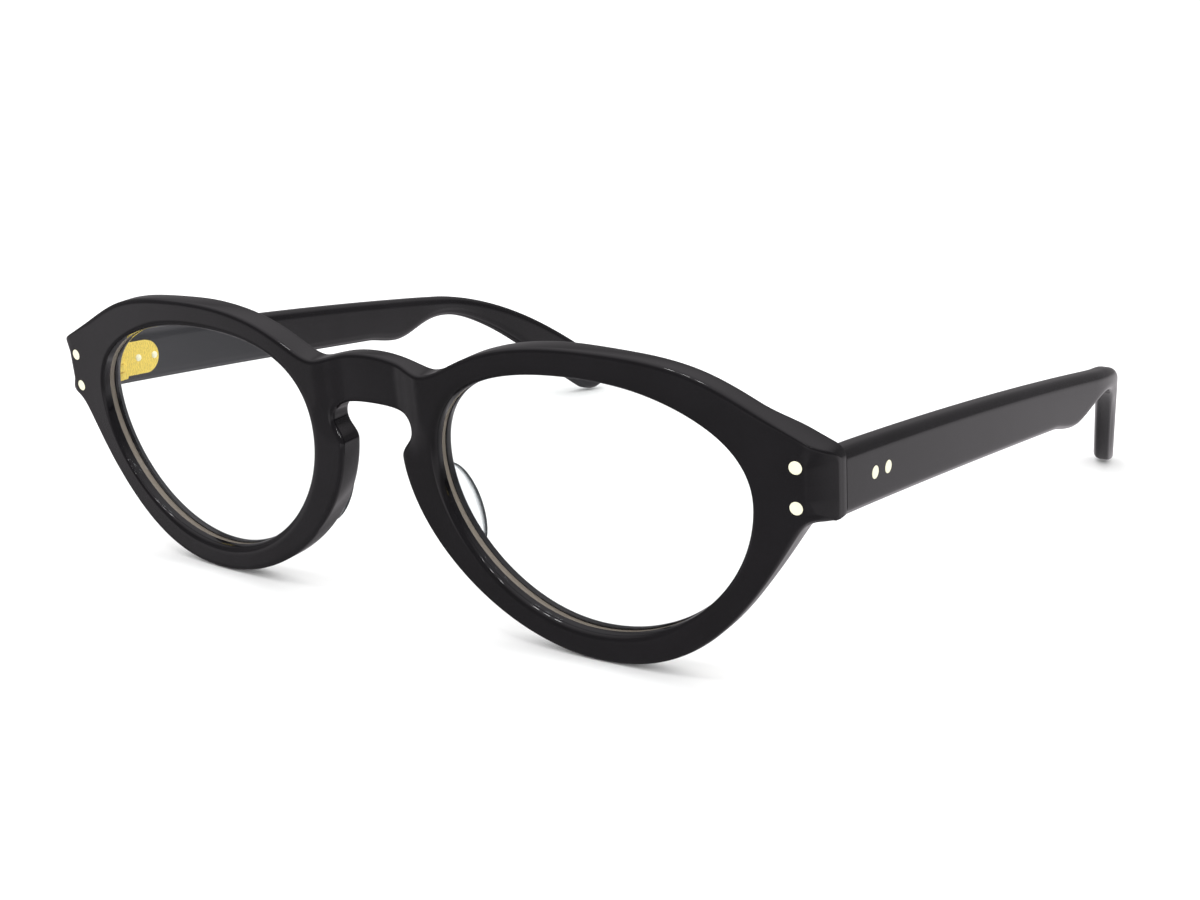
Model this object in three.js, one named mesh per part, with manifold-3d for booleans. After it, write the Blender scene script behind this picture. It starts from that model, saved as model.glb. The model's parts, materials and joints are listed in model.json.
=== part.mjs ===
// Keyhole-bridge acetate eyeglasses with riveted five-barrel hinges.
//
// Millimetres, +Z up. The front faces -Y and the temples run back along +Y, so +X is the wearer's
// left. Everything is drawn in the frame of the front, whose own origin is the middle of its front
// face at the level of the rim bottoms. The whole group then leans, so that the glasses stand on
// their two rims and two temple tips, and is placed with the middle of its footprint at the origin.
import * as THREE from 'three';
import { mergeVertices } from 'three/addons/utils/BufferGeometryUtils.js';
import Module from 'manifold-3d';

const wasm = await Module();
wasm.setup();

// ---------------------------------------------------------------- driving dimensions
const frontHalfWidth = 68;
const frontCurveRadius = 700;      // the front is bent about a vertical axis this far behind it
const frontThickness = 4.2;
const endCornerRadius = 3;         // upright outer corner of each end piece
const bridgeRecess = 1;            // the bridge is milled back this much from the rims
const leanAngle = 0.111;           // top of the front leans forward when it stands on a table

const eye = {                      // lens opening of the wearer's left eye, seen from the front
  nasal: { x: 11.4, z: 25.5, up: 12, down: 10.5 },
  top: { x: 33, z: 38.7, inward: 8.5, outward: 11.3 },
  temporal: { x: 57.9, z: 25, up: 9.9, down: 10.1 },
  bottom: { x: 34.6, z: 4.1, inward: 12.7, outward: 13.6 },
};
const lensThickness = 1;
const lensDepth = 1.6;             // front face of the front to front face of the lens
const lensReach = 0.6;             // how far the lens goes into the rim
const fitGap = 0.3;                // clearance of a piece in the pocket or groove made for it
const slideGap = 0.1;              // clearance between hinge knuckles
const drillGap = 0.15;             // clearance of a rivet or screw in its hole

const hinge = { x: 62.4, y: 9, z: 28.35 };
const knuckleCount = 5;
const knuckleRadius = 1.5;
const knuckleStack = 6.6;
const pinRadius = 0.6;
const leafThickness = 0.8;

const rivetShaftRadius = 0.6;
const rivetHeadRadius = 0.87;
const rivetHeadDepth = 0.4;
const frontRivetX = 63.6;
const frontRivetSpacing = 5.1;
const frontRivetLength = 4.05;
const templeRivetsY = [6.1, 9.6];
const templeRivetsZ = [-1.4, -1.85];

const templeThickness = 3.6;
const templeInnerX = 2.05;         // hinge axis to the inner face of the temple
const templeEndY = -1.35;          // hinge axis to the end face that meets the front
const templeMitre = 0.13;          // the end face follows the back of the end piece
const templeSplay = 0.045;         // open temples spread outward
const templeDroop = 0.14;          // and run down towards the ears
const templeBendY = 84;            // where the temple starts to turn in behind the ear
const templeBendRadius = 60;
const templeBendTurn = 0.325;
const wireRadius = 0.6;
const wireChannelRadius = 0.9;

const nosePad = {                  // half of an egg glued behind the rim
  x: 11.4,
  z: 16.8,
  turn: 0.3,
  halfWidth: 2.8,
  depth: 3.2,
  halfHeight: 6.8,
};

const roundSegments = 14;
const faceted = 9;                 // points along each curve of an outline
const throughFront = [-5, 20];     // y range that passes right through the front
const throughHeight = [-60, 60];   // z range that passes right through everything
const throughTemple = [-60, 20];   // x range that passes right through a temple

// ---------------------------------------------------------------- solids and cuts
function solidOf(geometry) {
  const bare = geometry.clone();
  bare.deleteAttribute('normal');
  bare.deleteAttribute('uv');
  const merged = mergeVertices(bare, 1e-4);
  return new wasm.Manifold(new wasm.Mesh({
    numProp: 3,
    vertProperties: new Float32Array(merged.attributes.position.array),
    triVerts: new Uint32Array(merged.index.array),
  }));
}

function geometryOf(solid) {
  const mesh = solid.getMesh();
  const geometry = new THREE.BufferGeometry();
  geometry.setAttribute('position', new THREE.BufferAttribute(new Float32Array(mesh.vertProperties), 3));
  geometry.setIndex(new THREE.BufferAttribute(new Uint32Array(mesh.triVerts), 1));
  geometry.computeVertexNormals();
  return geometry;
}

const join = (...parts) => geometryOf(parts.map(solidOf).reduce((sum, part) => sum.add(part)));
const common = (first, second) => geometryOf(solidOf(first).intersect(solidOf(second)));
const cut = (body, ...tools) => geometryOf(tools.map(solidOf).reduce((rest, tool) => rest.subtract(tool),
  solidOf(body)));

function mirrorX(geometry) {
  const mirrored = mergeVertices(geometry.clone()).scale(-1, 1, 1);
  const corners = mirrored.index.array;
  for (let i = 0; i < corners.length; i += 3) {
    [corners[i], corners[i + 1]] = [corners[i + 1], corners[i]];
  }
  mirrored.computeVertexNormals();
  return mirrored;
}

// ---------------------------------------------------------------- outlines pulled into solids
const extrude = (shape, depth, curveSegments = faceted) => new THREE.ExtrudeGeometry(shape,
  { depth, bevelEnabled: false, curveSegments });

// An outline drawn as (x, z), seen from the front, from one y to another.
const fromFront = (shape, y0, y1) => extrude(shape, y1 - y0).rotateX(Math.PI / 2).translate(0, y1, 0);

// An outline drawn as (x, y), seen from above, from one z to another.
const fromAbove = (shape, z0, z1, curveSegments) => extrude(shape, z1 - z0, curveSegments)
  .translate(0, 0, z0);

// An outline drawn as (y, z), seen from the side, from one x to another.
function fromSide(shape, x0, x1) {
  const turned = new THREE.Matrix4().makeBasis(new THREE.Vector3(0, 1, 0), new THREE.Vector3(0, 0, 1),
    new THREE.Vector3(1, 0, 0));
  return extrude(shape, x1 - x0).applyMatrix4(turned).translate(x0, 0, 0);
}

function box(x0, x1, y0, y1, z0, z1) {
  return new THREE.BoxGeometry(x1 - x0, y1 - y0, z1 - z0)
    .translate((x0 + x1) / 2, (y0 + y1) / 2, (z0 + z1) / 2);
}

// A round bar along z.
const bar = (radius, z0, z1) => new THREE.CylinderGeometry(radius, radius, z1 - z0, roundSegments)
  .rotateX(Math.PI / 2).translate(0, 0, (z0 + z1) / 2);

// A round piece about y, from (radius, y) pairs that start and end on the axis.
const turned = (profile) => new THREE.LatheGeometry(
  profile.map(([radius, y]) => new THREE.Vector2(radius, y)), roundSegments);

// A slab bent to the curve of the front, between two depths behind its front face.
function bentSlab(depth0, depth1) {
  const halfAngle = 0.1;
  const start = -Math.PI / 2 - halfAngle;
  const end = -Math.PI / 2 + halfAngle;
  const slab = new THREE.Shape();
  slab.absarc(0, frontCurveRadius, frontCurveRadius - depth0, start, end);
  slab.absarc(0, frontCurveRadius, frontCurveRadius - depth1, end, start, true);
  return fromAbove(slab, ...throughHeight, 24);
}

const faceY = (x) => frontCurveRadius - Math.sqrt(frontCurveRadius ** 2 - x ** 2);

// ---------------------------------------------------------------- front
// Right half of the outline, from the top of the keyhole round to the top of the bridge.
function frontOutline() {
  const keyholeTop = 31.25;
  const rimTop = 42.6;
  const rimBottom = 0.1;
  const bridgeTop = 38.3;
  const endTop = 32.6;
  const endBottom = 24;
  const half = new THREE.Path();
  half.moveTo(0, keyholeTop);
  half.bezierCurveTo(4.6, keyholeTop, 7, 30.7, 7, 28.3);
  half.bezierCurveTo(7, 26.9, 5.35, 26.2, 5.35, 24.8);
  half.bezierCurveTo(6.3, 12.5, 20.5, rimBottom, 35.5, rimBottom);
  half.bezierCurveTo(49.8, rimBottom, 56.7, 10.4, 62.7, 20.8);
  half.bezierCurveTo(63.9, 22.8, 64.6, endBottom, 66.4, endBottom);
  half.lineTo(frontHalfWidth, endBottom);
  half.lineTo(frontHalfWidth, endTop);
  half.lineTo(65.8, 33.6);
  half.bezierCurveTo(52.9, 39.5, 52.5, rimTop, 34, rimTop);
  half.bezierCurveTo(17.8, rimTop, 14.4, 37.2, 10.1, 36.7);
  half.bezierCurveTo(8, 36.45, 5.5, bridgeTop, 0, bridgeTop);
  const right = half.getPoints(faceted);
  const left = right.slice(1, -1).map((point) => new THREE.Vector2(-point.x, point.y)).reverse();
  return new THREE.Shape([...right, ...left]);
}

// The lens opening, or the same outline grown or shrunk.
function eyeOutline(grow = 0) {
  const { nasal, top, temporal, bottom } = eye;
  const nasalX = nasal.x - grow;
  const topZ = top.z + grow;
  const temporalX = temporal.x + grow;
  const bottomZ = bottom.z - grow;
  const outline = new THREE.Shape();
  outline.moveTo(nasalX, nasal.z);
  outline.bezierCurveTo(nasalX, nasal.z + nasal.up, top.x - top.inward, topZ, top.x, topZ);
  outline.bezierCurveTo(top.x + top.outward, topZ, temporalX, temporal.z + temporal.up, temporalX,
    temporal.z);
  outline.bezierCurveTo(temporalX, temporal.z - temporal.down, bottom.x + bottom.outward, bottomZ,
    bottom.x, bottomZ);
  outline.bezierCurveTo(bottom.x - bottom.inward, bottomZ, nasalX, nasal.z - nasal.down, nasalX, nasal.z);
  return outline;
}

// The front seen from above: a bent slab with round outer corners.
function frontPlan() {
  const centreX = frontHalfWidth - endCornerRadius;
  const centreY = frontCurveRadius - Math.sqrt((frontCurveRadius - endCornerRadius) ** 2 - centreX ** 2);
  const rearRadius = frontCurveRadius - frontThickness;
  const frontAngle = Math.atan2(centreX, frontCurveRadius - centreY);
  const rearAngle = Math.asin(frontHalfWidth / rearRadius);
  const down = -Math.PI / 2;
  const plan = new THREE.Shape();
  plan.absarc(0, frontCurveRadius, frontCurveRadius, down - frontAngle, down + frontAngle);
  plan.absarc(centreX, centreY, endCornerRadius, down + frontAngle, 0);
  plan.absarc(0, frontCurveRadius, rearRadius, down + rearAngle, down - rearAngle, true);
  plan.absarc(-centreX, centreY, endCornerRadius, Math.PI, Math.PI * 1.5 - frontAngle);
  return plan;
}

// What is milled off the face of the bridge, with a hollow at each end.
function bridgeCutter() {
  const flat = 4.9;
  const fade = 9.2;
  const floorZ = 29.8;
  const clearOfFace = -2;
  const recess = new THREE.Shape();
  recess.moveTo(-fade, clearOfFace);
  recess.lineTo(fade, clearOfFace);
  recess.lineTo(fade, faceY(fade));
  recess.bezierCurveTo(7.4, 0.2, 6.4, bridgeRecess, flat, bridgeRecess);
  recess.lineTo(-flat, bridgeRecess);
  recess.bezierCurveTo(-6.4, bridgeRecess, -7.4, 0.2, -fade, faceY(fade));
  return fromAbove(recess, floorZ, throughHeight[1]);
}

function frontLeafPocket() {
  const leaf = frontLeafPlate(fitGap);
  return leaf.translate(hinge.x, hinge.y, hinge.z);
}

const frontRivetTurn = Math.asin(frontRivetX / frontCurveRadius);
const headSunk = 0.04;             // a flat head just clears the curved face
const frontRivetAt = (z) => new THREE.Vector3(frontRivetX, faceY(frontRivetX) + headSunk, hinge.z + z);

const frontRivetHoles = () => [-1, 1].map((end) => {
  const at = frontRivetAt(end * frontRivetSpacing / 2);
  return rivet(frontRivetLength, drillGap).rotateZ(frontRivetTurn).translate(at.x, at.y, at.z);
});

function frontGeometry() {
  const slab = common(fromFront(frontOutline(), ...throughFront),
    fromAbove(frontPlan(), ...throughHeight, 20));
  const opening = fromFront(eyeOutline(), ...throughFront);
  const groove = common(fromFront(eyeOutline(lensReach + fitGap), ...throughFront),
    bentSlab(lensDepth - fitGap, lensDepth + lensThickness + fitGap));
  const tools = [opening, groove, frontLeafPocket(), ...frontRivetHoles()];
  return cut(slab, bridgeCutter(), ...tools, ...tools.map(mirrorX));
}

const lensGeometry = () => common(fromFront(eyeOutline(lensReach), ...throughFront),
  bentSlab(lensDepth, lensDepth + lensThickness));

// A nose pad: half of a long egg, flat where it is glued to the back of the rim.
function nosePadGeometry() {
  const { halfWidth, depth, halfHeight } = nosePad;
  const egg = new THREE.SphereGeometry(1, roundSegments, 10).scale(halfWidth, depth, halfHeight);
  return common(egg, box(-halfWidth, halfWidth, 0, depth, -halfHeight, halfHeight));
}

// ---------------------------------------------------------------- hinge and rivets
// A rivet set from its flat head at y = 0 towards +y; grow makes the hole for it.
function rivet(length, grow = 0) {
  const head = rivetHeadRadius + grow;
  const shaft = rivetShaftRadius + grow;
  const start = grow > 0 ? -1 : 0;
  return turned([[0, start], [head, start], [head, rivetHeadDepth + grow], [shaft, rivetHeadDepth + grow],
    [shaft, length + grow], [0, length + grow]]);
}

const knucklePitch = knuckleStack / knuckleCount;
const knuckleFloor = (level) => -knuckleStack / 2 + level * knucklePitch + slideGap / 2;
const knuckleRoof = (level) => knuckleFloor(level + 1) - slideGap;
const levelsOf = (first) => Array.from({ length: knuckleCount }, (_, level) => level)
  .filter((level) => level % 2 === first);

function knuckles(levels, tabX0, tabX1, tabY0, tabY1) {
  return levels.flatMap((level) => [
    bar(knuckleRadius, knuckleFloor(level), knuckleRoof(level)),
    box(tabX0, tabX1, tabY0, tabY1, knuckleFloor(level), knuckleRoof(level)),
  ]);
}

const pinHole = () => bar(pinRadius + drillGap, -knuckleStack, knuckleStack);

// The leaf let into the back of the end piece. Grown, it is the pocket, which stays open to the rear.
const frontLeafY = -1.85;
function frontLeafPlate(grow = 0) {
  const inner = -2.4 - grow;
  const outer = 3 + grow;
  const halfHeight = 3.45 + grow;
  const openRear = frontLeafY + grow * 3;
  return box(inner, outer, frontLeafY - leafThickness - grow, openRear, -halfHeight, halfHeight);
}

function frontLeafGeometry() {
  const tab = 0.9;
  const holes = frontRivetHoles().map((hole) => hole.translate(-hinge.x, -hinge.y, -hinge.z));
  const leaf = join(frontLeafPlate(), ...knuckles(levelsOf(0), -tab, tab, frontLeafY - 0.2, 0));
  return cut(leaf, pinHole(), ...holes);
}

const templeLeafX = templeInnerX - drillGap - leafThickness;
const templeLeafStartY = 1.75;

// A D-shaped plate, round towards the ear, on the inner face of the temple.
function templeLeafPlate() {
  const radius = 3.2;
  const straight = 6.2;
  const middleZ = -0.85;
  const plate = new THREE.Shape();
  plate.moveTo(0, -radius);
  plate.lineTo(straight, -radius);
  plate.absarc(straight, 0, radius, -Math.PI / 2, Math.PI / 2);
  plate.lineTo(0, radius);
  return fromSide(plate, templeLeafX, templeLeafX + leafThickness).rotateX(-templeDroop)
    .translate(0, templeLeafStartY, middleZ);
}

const templeRivetLength = templeThickness + drillGap + leafThickness;
const templeRivetPlace = (i) => [templeInnerX + templeThickness, templeRivetsY[i], templeRivetsZ[i]];
const templeRivetHoles = () => templeRivetsY.map((_, i) => rivet(templeRivetLength, drillGap)
  .rotateZ(Math.PI / 2).translate(...templeRivetPlace(i)));

function templeLeafGeometry() {
  const tabEnd = templeLeafX + leafThickness;
  const body = join(templeLeafPlate(), ...knuckles(levelsOf(1), 0.5, tabEnd, 0, templeLeafStartY + 0.6));
  return cut(body, pinHole(), ...templeRivetHoles());
}

// The hinge screw stands upright with a slotted head on top.
function screwGeometry() {
  const headRadius = 1.15;
  const headFloor = knuckleStack / 2;
  const headRoof = headFloor + 0.6;
  const slotWidth = 0.35;
  const slotDepth = 0.3;
  const body = turned([[0, -headFloor], [pinRadius, -headFloor], [pinRadius, headFloor],
    [headRadius, headFloor], [headRadius, headRoof - 0.2], [headRadius - 0.25, headRoof], [0, headRoof]])
    .rotateX(Math.PI / 2);
  return cut(body, box(-headRadius * 2, headRadius * 2, -slotWidth / 2, slotWidth / 2,
    headRoof - slotDepth, headRoof + slotDepth));
}

// ---------------------------------------------------------------- temple
// Side view of the temple as (y, z) from the hinge axis: a slightly arched bar, a shoulder where it
// rests on the ear, and a drop that widens to a round tip.
function templeProfile() {
  const spareY = -4;                 // past the end face, which the plan cuts
  const tip = { y: 130.2, z: -39.5, radius: 3.8 };
  const tipStart = -2.3;
  const tipEnd = 0.87;
  const profile = new THREE.Shape();
  profile.moveTo(spareY, -4.35);
  profile.lineTo(templeEndY, -4.75);
  profile.quadraticCurveTo(24, -8.4, 67, -15.6);
  profile.bezierCurveTo(70, -16.1, 73.5, -17.8, 77, -17.8);
  profile.bezierCurveTo(80.5, -17.8, 84, -16.4, 88.5, -16.4);
  profile.bezierCurveTo(103, -16.4, 116, -33, tip.y + tip.radius * Math.cos(tipStart),
    tip.z + tip.radius * Math.sin(tipStart));
  profile.absarc(tip.y, tip.z, tip.radius, tipStart, tipEnd);
  profile.bezierCurveTo(123.5, -29.2, 109.2, -15.8, 90, -12.3);
  profile.quadraticCurveTo(44.5, -2.8, templeEndY, 3.9);
  profile.lineTo(spareY, 4.3);
  return profile;
}

// The temple seen from above: its mitred end, straight, then turned in behind the ear.
function templePlan() {
  const half = templeThickness / 2;
  const outerEndY = templeEndY + 0.2;
  const innerEndY = outerEndY - templeThickness * Math.tan(templeMitre);
  const tail = 60;                   // straight on past the tip
  const sine = Math.sin(templeBendTurn);
  const cosine = Math.cos(templeBendTurn);
  const afterBend = (side) => [-templeBendRadius + (templeBendRadius + side) * cosine - tail * sine,
    templeBendY + (templeBendRadius + side) * sine + tail * cosine];
  const plan = new THREE.Shape();
  plan.moveTo(half, outerEndY);
  plan.lineTo(half, templeBendY);
  plan.absarc(-templeBendRadius, templeBendY, templeBendRadius + half, 0, templeBendTurn);
  plan.lineTo(...afterBend(half));
  plan.lineTo(...afterBend(-half));
  plan.absarc(-templeBendRadius, templeBendY, templeBendRadius - half, templeBendTurn, 0, true);
  plan.lineTo(-half, innerEndY);
  return fromAbove(plan, ...throughHeight, 10).translate(templeInnerX + half, 0, 0);
}

// How far the middle of the temple has turned in at y.
function bendInward(y) {
  const along = Math.max(0, y - templeBendY);
  const curved = Math.min(along, templeBendRadius * Math.sin(templeBendTurn));
  return templeBendRadius - Math.sqrt(templeBendRadius ** 2 - curved ** 2)
    + (along - curved) * Math.tan(templeBendTurn);
}

// Middle line of the stiffening wire, which enters at the hinge end and passes under the rivets.
function wireCurve(startY) {
  const heights = [[startY, -3.1], [6, -3.9], [10, -4.4], [20, -5.3], [40, -7.9], [60, -11.2],
    [76, -14.2], [88, -14.4], [96, -16], [103, -19.6], [109, -23.8], [115, -28.4]];
  return new THREE.CatmullRomCurve3(heights.map(([y, z]) => (
    new THREE.Vector3(templeInnerX + templeThickness / 2 - bendInward(y), y, z))));
}

function rodAlong(curve, radius) {
  const section = new THREE.Shape();
  section.absarc(0, 0, radius, 0, Math.PI * 2);
  return new THREE.ExtrudeGeometry(section, { steps: 26, curveSegments: 6, extrudePath: curve });
}

function templeGeometry() {
  const side = fromSide(templeProfile(), ...throughTemple);
  const channel = rodAlong(wireCurve(templeEndY - 1), wireChannelRadius);
  return cut(common(side, templePlan()), channel, ...templeRivetHoles());
}

const coreWireGeometry = () => rodAlong(wireCurve(templeEndY + fitGap), wireRadius);

// ---------------------------------------------------------------- scene
const acetate = { color: 0x1a181b, roughness: 0.12, metalness: 0 };
const clearLens = { color: 0xf4f8fb, roughness: 0.03, metalness: 0, transparent: true, opacity: 0.3 };
const clearPad = { color: 0xe8ecee, roughness: 0.15, metalness: 0, transparent: true, opacity: 0.5 };
const goldPlate = { color: 0xd9b75c, roughness: 0.3, metalness: 1 };
const paleGold = { color: 0xe6d9a8, roughness: 0.25, metalness: 1 };
const steel = { color: 0x9a9da2, roughness: 0.4, metalness: 1 };

function piece(name, geometry, look) {
  const mesh = new THREE.Mesh(geometry, new THREE.MeshStandardMaterial(look));
  mesh.name = name;
  return mesh;
}

// Everything that comes in pairs: wearer's left at +X, wearer's right mirrored at -X.
function sideOfFront(side, sign) {
  const shaped = (geometry) => (sign > 0 ? geometry : mirrorX(geometry));
  const group = new THREE.Group();
  group.add(piece(`lens_${side}`, shaped(lensGeometry()), clearLens));

  const pad = piece(`nose_pad_${side}`, shaped(nosePadGeometry()), clearPad);
  pad.position.set(sign * nosePad.x, faceY(nosePad.x) + frontThickness + fitGap / 2, nosePad.z);
  pad.rotation.y = -sign * nosePad.turn;
  group.add(pad);

  ['upper', 'lower'].forEach((place, i) => {
    const headed = piece(`front_rivet_${place}_${side}`, shaped(rivet(frontRivetLength)), paleGold);
    headed.position.copy(frontRivetAt((0.5 - i) * frontRivetSpacing));
    headed.position.x *= sign;
    headed.rotation.z = sign * frontRivetTurn;
    group.add(headed);
  });

  const pivot = new THREE.Group();
  pivot.position.set(sign * hinge.x, hinge.y, hinge.z);
  pivot.add(piece(`front_hinge_${side}`, shaped(frontLeafGeometry()), goldPlate));
  pivot.add(piece(`hinge_screw_${side}`, shaped(screwGeometry()), goldPlate));

  const temple = new THREE.Group();
  temple.rotation.z = -sign * templeSplay;
  temple.add(piece(`temple_${side}`, shaped(templeGeometry()), acetate));
  temple.add(piece(`core_wire_${side}`, shaped(coreWireGeometry()), steel));
  temple.add(piece(`temple_hinge_${side}`, shaped(templeLeafGeometry()), goldPlate));
  ['front', 'rear'].forEach((place, i) => {
    const [x, y, z] = templeRivetPlace(i);
    const headed = piece(`temple_rivet_${place}_${side}`, shaped(rivet(templeRivetLength)), paleGold);
    headed.position.set(sign * x, y, z);
    headed.rotation.z = sign * Math.PI / 2;
    temple.add(headed);
  });
  pivot.add(temple);
  group.add(pivot);
  return group;
}

const glasses = new THREE.Group();
glasses.add(piece('front', frontGeometry(), acetate));
glasses.add(sideOfFront('left', 1));
glasses.add(sideOfFront('right', -1));
glasses.rotation.x = leanAngle;

const room = new THREE.Group();
room.add(glasses);
const extent = new THREE.Box3().setFromObject(room, true);
glasses.position.set(0, -(extent.min.y + extent.max.y) / 2, -extent.min.z);

export default room;
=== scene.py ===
"""Looks for a folding pair of black acetate eyeglasses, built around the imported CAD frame."""
import json
import math

import bpy
import numpy as np
from mathutils import Matrix, Quaternion, Vector
from mathutils.geometry import delaunay_2d_cdt


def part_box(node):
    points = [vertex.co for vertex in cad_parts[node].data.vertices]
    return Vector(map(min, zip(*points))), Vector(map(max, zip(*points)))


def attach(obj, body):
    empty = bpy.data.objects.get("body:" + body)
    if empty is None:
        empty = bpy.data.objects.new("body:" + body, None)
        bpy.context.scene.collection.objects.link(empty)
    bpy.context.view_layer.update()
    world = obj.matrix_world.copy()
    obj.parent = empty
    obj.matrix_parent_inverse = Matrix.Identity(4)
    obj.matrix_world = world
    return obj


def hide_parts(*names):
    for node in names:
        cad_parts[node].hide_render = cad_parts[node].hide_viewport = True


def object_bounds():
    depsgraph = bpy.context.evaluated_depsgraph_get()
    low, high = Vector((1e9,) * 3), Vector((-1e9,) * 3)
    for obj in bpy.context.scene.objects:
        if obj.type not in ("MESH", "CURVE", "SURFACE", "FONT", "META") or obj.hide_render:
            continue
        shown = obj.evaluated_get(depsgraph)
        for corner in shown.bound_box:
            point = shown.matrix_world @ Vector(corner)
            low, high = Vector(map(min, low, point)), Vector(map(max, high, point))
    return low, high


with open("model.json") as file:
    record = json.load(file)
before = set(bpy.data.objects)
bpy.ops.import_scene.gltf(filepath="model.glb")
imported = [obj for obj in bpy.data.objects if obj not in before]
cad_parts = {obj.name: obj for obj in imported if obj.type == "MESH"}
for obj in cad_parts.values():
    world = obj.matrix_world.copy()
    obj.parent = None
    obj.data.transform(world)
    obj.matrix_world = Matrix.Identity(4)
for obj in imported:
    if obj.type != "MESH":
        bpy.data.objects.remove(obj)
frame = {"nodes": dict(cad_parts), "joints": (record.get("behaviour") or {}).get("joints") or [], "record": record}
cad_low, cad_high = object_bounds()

# ---------------------------------------------------------------- where things are
# Shapes are drawn in millimetres in the frame of the front: x towards the wearer's left, y back
# along the temples, z up, from the middle of the front face at the level of the rim bottoms.
MM = 0.001
JOINTS = {joint["name"]: joint for joint in frame["joints"]}
LEFT_FOLD = JOINTS["temple_left_fold"]
HALF_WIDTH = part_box("front")[1].x / MM
HINGE = Vector((LEFT_FOLD["pos_m"][0] / MM, 9, 28.35))
LEAN = math.atan2(-LEFT_FOLD["axis"][1], LEFT_FOLD["axis"][2])
SPLAY = 0.045
DROOP = 0.14

TO_ROW = (Matrix.Translation(LEFT_FOLD["pos_m"]) @ Matrix.Rotation(LEAN, 4, "X")
          @ Matrix.Scale(MM, 4) @ Matrix.Translation(-HINGE))
HINGE_PLACE = Matrix.Translation(HINGE)
TEMPLE_PLACE = HINGE_PLACE @ Matrix.Rotation(-SPLAY, 4, "Z")
MIRROR_X = Matrix.Diagonal((-1, 1, 1, 1))

# The front
CURVE_RADIUS = 700
FRONT_THICKNESS = 4.2
END_CORNER = 3.8
END_CENTRE_X = HALF_WIDTH - END_CORNER
END_CENTRE_Y = CURVE_RADIUS - math.sqrt((CURVE_RADIUS - END_CORNER) ** 2 - END_CENTRE_X ** 2)
BRIDGE_RECESS = 1
BRIDGE_FLAT = 4.6
BRIDGE_FADE = 9.4
LENS_DEPTH = 1.6
LENS_THICKNESS = 1
LENS_REACH = 0.6
LENS_BEVEL = 0.25
GROOVE_GAP = 0.05

# The temples
TEMPLE_THICKNESS = 3.6
TEMPLE_INNER_X = 2.05
TEMPLE_END_Y = -1.15
TEMPLE_MITRE = 0.13
TEMPLE_ROUNDING = 1.3
BEND_Y = 84
BEND_RADIUS = 60
BEND_TURN = 0.325

# Hinges and rivets
KNUCKLE_RADIUS = 1.5
KNUCKLE_COUNT = 5
KNUCKLE_STACK = 6.6
KNUCKLE_GAP = 0.1
LEAF_THICKNESS = 0.8
FRONT_LEAF_Y = -1.85
TEMPLE_LEAF_X = TEMPLE_INNER_X - 0.15 - LEAF_THICKNESS
TEMPLE_LEAF_Y = 1.75
RIVET_HEAD = 0.87
RIVET_SHAFT = 0.6
RIVET_PROUD = 0.04
FRONT_RIVET_X = 63.6
FRONT_RIVET_SPACING = 5.1
FRONT_RIVET_LENGTH = 4.05
TEMPLE_RIVETS = {"front": (6.1, -1.4), "rear": (9.6, -1.85)}


# ---------------------------------------------------------------- lines in a plane
def trace(start, *stretches, spacing=0.35):
    """Points from start along stretches. Each stretch is a list: Bezier handles, if any, and an end point."""
    points = [np.array(start, float)]
    for stretch in stretches:
        knots = [points[-1]] + [np.array(p, float) for p in stretch]
        length = sum(np.linalg.norm(b - a) for a, b in zip(knots, knots[1:]))
        count = max(2, round(length / spacing))
        for i in range(1, count + 1):
            level = knots
            while len(level) > 1:
                level = [a + (b - a) * i / count for a, b in zip(level, level[1:])]
            points.append(level[0])
    return np.array(points)


def closed(points):
    """The same line without a last point that repeats the first."""
    repeats = np.linalg.norm(points[0] - points[-1]) < 1e-6
    return points[:-1] if repeats else points


def mirrored(points):
    """A closed line on the other side, still going round the same way."""
    return (points * [-1, 1])[::-1]


def inside(points, loops):
    """Which points lie in the area that the loops enclose, by counting crossings."""
    odd = np.zeros(len(points), bool)
    for loop in loops:
        nxt = np.roll(loop, -1, axis=0)
        for (x0, y0), (x1, y1) in zip(loop, nxt):
            spans = (y0 > points[:, 1]) != (y1 > points[:, 1])
            if not spans.any():
                continue
            reach = x0 + (points[:, 1] - y0) * (x1 - x0) / ((y1 - y0) or 1e-12)
            odd ^= spans & (points[:, 0] < reach)
    return odd


class Edge:
    """A closed line with material on its left, and how far the edges in front and behind are rounded.
    A radius of 0 leaves that stretch sharp. Rows are (depth, outward) steps in the wall between them."""

    def __init__(self, points, front=0.6, back=0.6, rows=()):
        self.points = closed(points)
        count = len(self.points)
        self.front = np.broadcast_to(np.array(front, float), (count,)).copy()
        self.back = np.broadcast_to(np.array(back, float), (count,)).copy()
        self.rows = rows

    def inward(self):
        """Unit directions into the material at each point."""
        along = np.roll(self.points, -1, axis=0) - np.roll(self.points, 1, axis=0)
        along /= np.linalg.norm(along, axis=1)[:, None]
        return np.stack([-along[:, 1], along[:, 0]], axis=1)


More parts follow.
